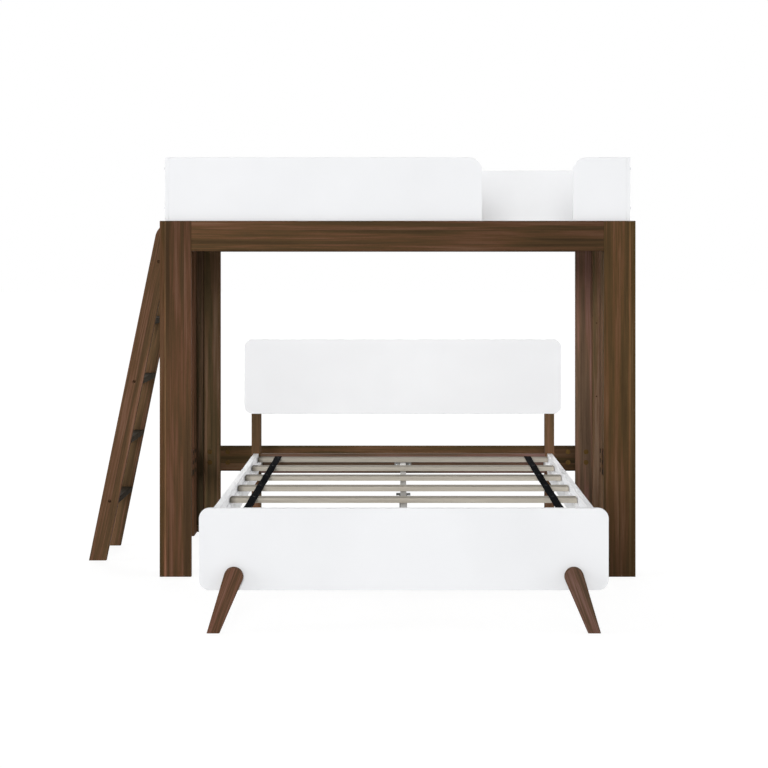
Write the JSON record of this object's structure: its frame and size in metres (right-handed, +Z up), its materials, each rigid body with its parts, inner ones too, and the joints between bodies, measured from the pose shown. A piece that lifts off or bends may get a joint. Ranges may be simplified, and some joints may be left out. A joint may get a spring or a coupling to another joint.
{
  "type": "l-shaped bunk bed",
  "caption": "L-shaped bunk bed: walnut-brown loft frame with white guard panels and a leaning end ladder, over a low white platform bed on splayed wooden legs.",
  "frame": {"origin": "on the floor, in the middle of the whole footprint, ladder and low bed included", "axes": "+Z up, -Y towards the footboard of the low bed, +X to the right seen from the footboard, with the ladder on the left"},
  "size_m": [2.421, 2.439, 1.804],
  "materials": {
    "walnut_stained_pine": "satin walnut stain on straight-grained boards",
    "white_lacquer_board": "smooth white lacquer on panel board",
    "white_lacquer_rail": "white lacquer",
    "pale_slat_wood": "unfinished pale grey-beige",
    "black_webbing": "woven webbing",
    "grey_painted_steel": "satin grey powder coat",
    "charcoal_painted_wood": "matt charcoal paint",
    "zinc_plated_steel": "zinc plate",
    "bronze_plated_steel": "dark bronze plate",
    "black_painted_steel": "satin black powder coat",
    "brown_plastic_cover": "moulded brown plastic",
    "beech_dowel": "plain beech"
  },
  "bodies": {
    "loft": {"post_face_front_left": "walnut_stained_pine", "post_face_front_right": "walnut_stained_pine", "post_face_rear_left": "walnut_stained_pine", "post_face_rear_right": "walnut_stained_pine", "post_side_front_left": "walnut_stained_pine", "post_side_front_right": "walnut_stained_pine", "post_side_rear_left": "walnut_stained_pine", "post_side_rear_right": "walnut_stained_pine", "corner_battens": "walnut_stained_pine", "front_top_rail": "walnut_stained_pine", "rear_top_rail": "walnut_stained_pine", "left_top_rail": "walnut_stained_pine", "right_top_rail": "walnut_stained_pine", "rear_stretcher": "walnut_stained_pine", "left_stretcher": "walnut_stained_pine", "right_stretcher": "walnut_stained_pine", "rail_dowels": "beech_dowel", "cam_locks": "brown_plastic_cover", "cam_bolts": "zinc_plated_steel", "front_guard_long": "white_lacquer_board", "front_guard_short": "white_lacquer_board", "rear_guard": "white_lacquer_board", "right_end_guard": "white_lacquer_board", "left_end_guard_front": "white_lacquer_board", "left_end_guard_rear": "white_lacquer_board", "guard_corner_screws": "zinc_plated_steel", "upper_cleats": "white_lacquer_rail", "upper_slats": "pale_slat_wood", "upper_straps": "black_webbing", "upper_centre_beam": "grey_painted_steel", "upper_beam_saddles": "grey_painted_steel"},
    "ladder": {"ladder_stringer_front": "walnut_stained_pine", "ladder_stringer_rear": "walnut_stained_pine", "ladder_tread_1": "charcoal_painted_wood", "ladder_tread_2": "charcoal_painted_wood", "ladder_tread_3": "charcoal_painted_wood", "ladder_tread_4": "charcoal_painted_wood", "ladder_tread_5": "charcoal_painted_wood", "ladder_tread_bolts": "bronze_plated_steel", "ladder_hooks": "black_painted_steel"},
    "low_bed": {"footboard_panel": "white_lacquer_board", "headboard_panel": "white_lacquer_board", "foot_leg_left": "walnut_stained_pine", "foot_leg_right": "walnut_stained_pine", "leg_bolts": "zinc_plated_steel", "head_post_left": "walnut_stained_pine", "head_post_right": "walnut_stained_pine", "head_cross_rail": "walnut_stained_pine", "cross_rail_dowels": "beech_dowel", "head_bolts": "zinc_plated_steel", "side_rail_left": "white_lacquer_rail", "side_rail_right": "white_lacquer_rail", "side_cleats": "white_lacquer_rail", "barrel_nuts": "zinc_plated_steel", "corner_brackets": "grey_painted_steel", "lower_slats": "pale_slat_wood", "lower_straps": "black_webbing", "lower_centre_beam": "grey_painted_steel", "lower_beam_saddles": "grey_painted_steel", "support_leg": "black_painted_steel"}
  },
  "joints": [
    {"name": "ladder_lift", "type": "slide", "parent": "loft", "child": "ladder", "axis": [0, 0, 1], "range_m": [0, 0.06]},
    {"name": "low_bed_pull", "type": "slide", "parent": "loft", "child": "low_bed", "axis": [0, -1, 0], "range_m": [0, 1]}
  ]
}
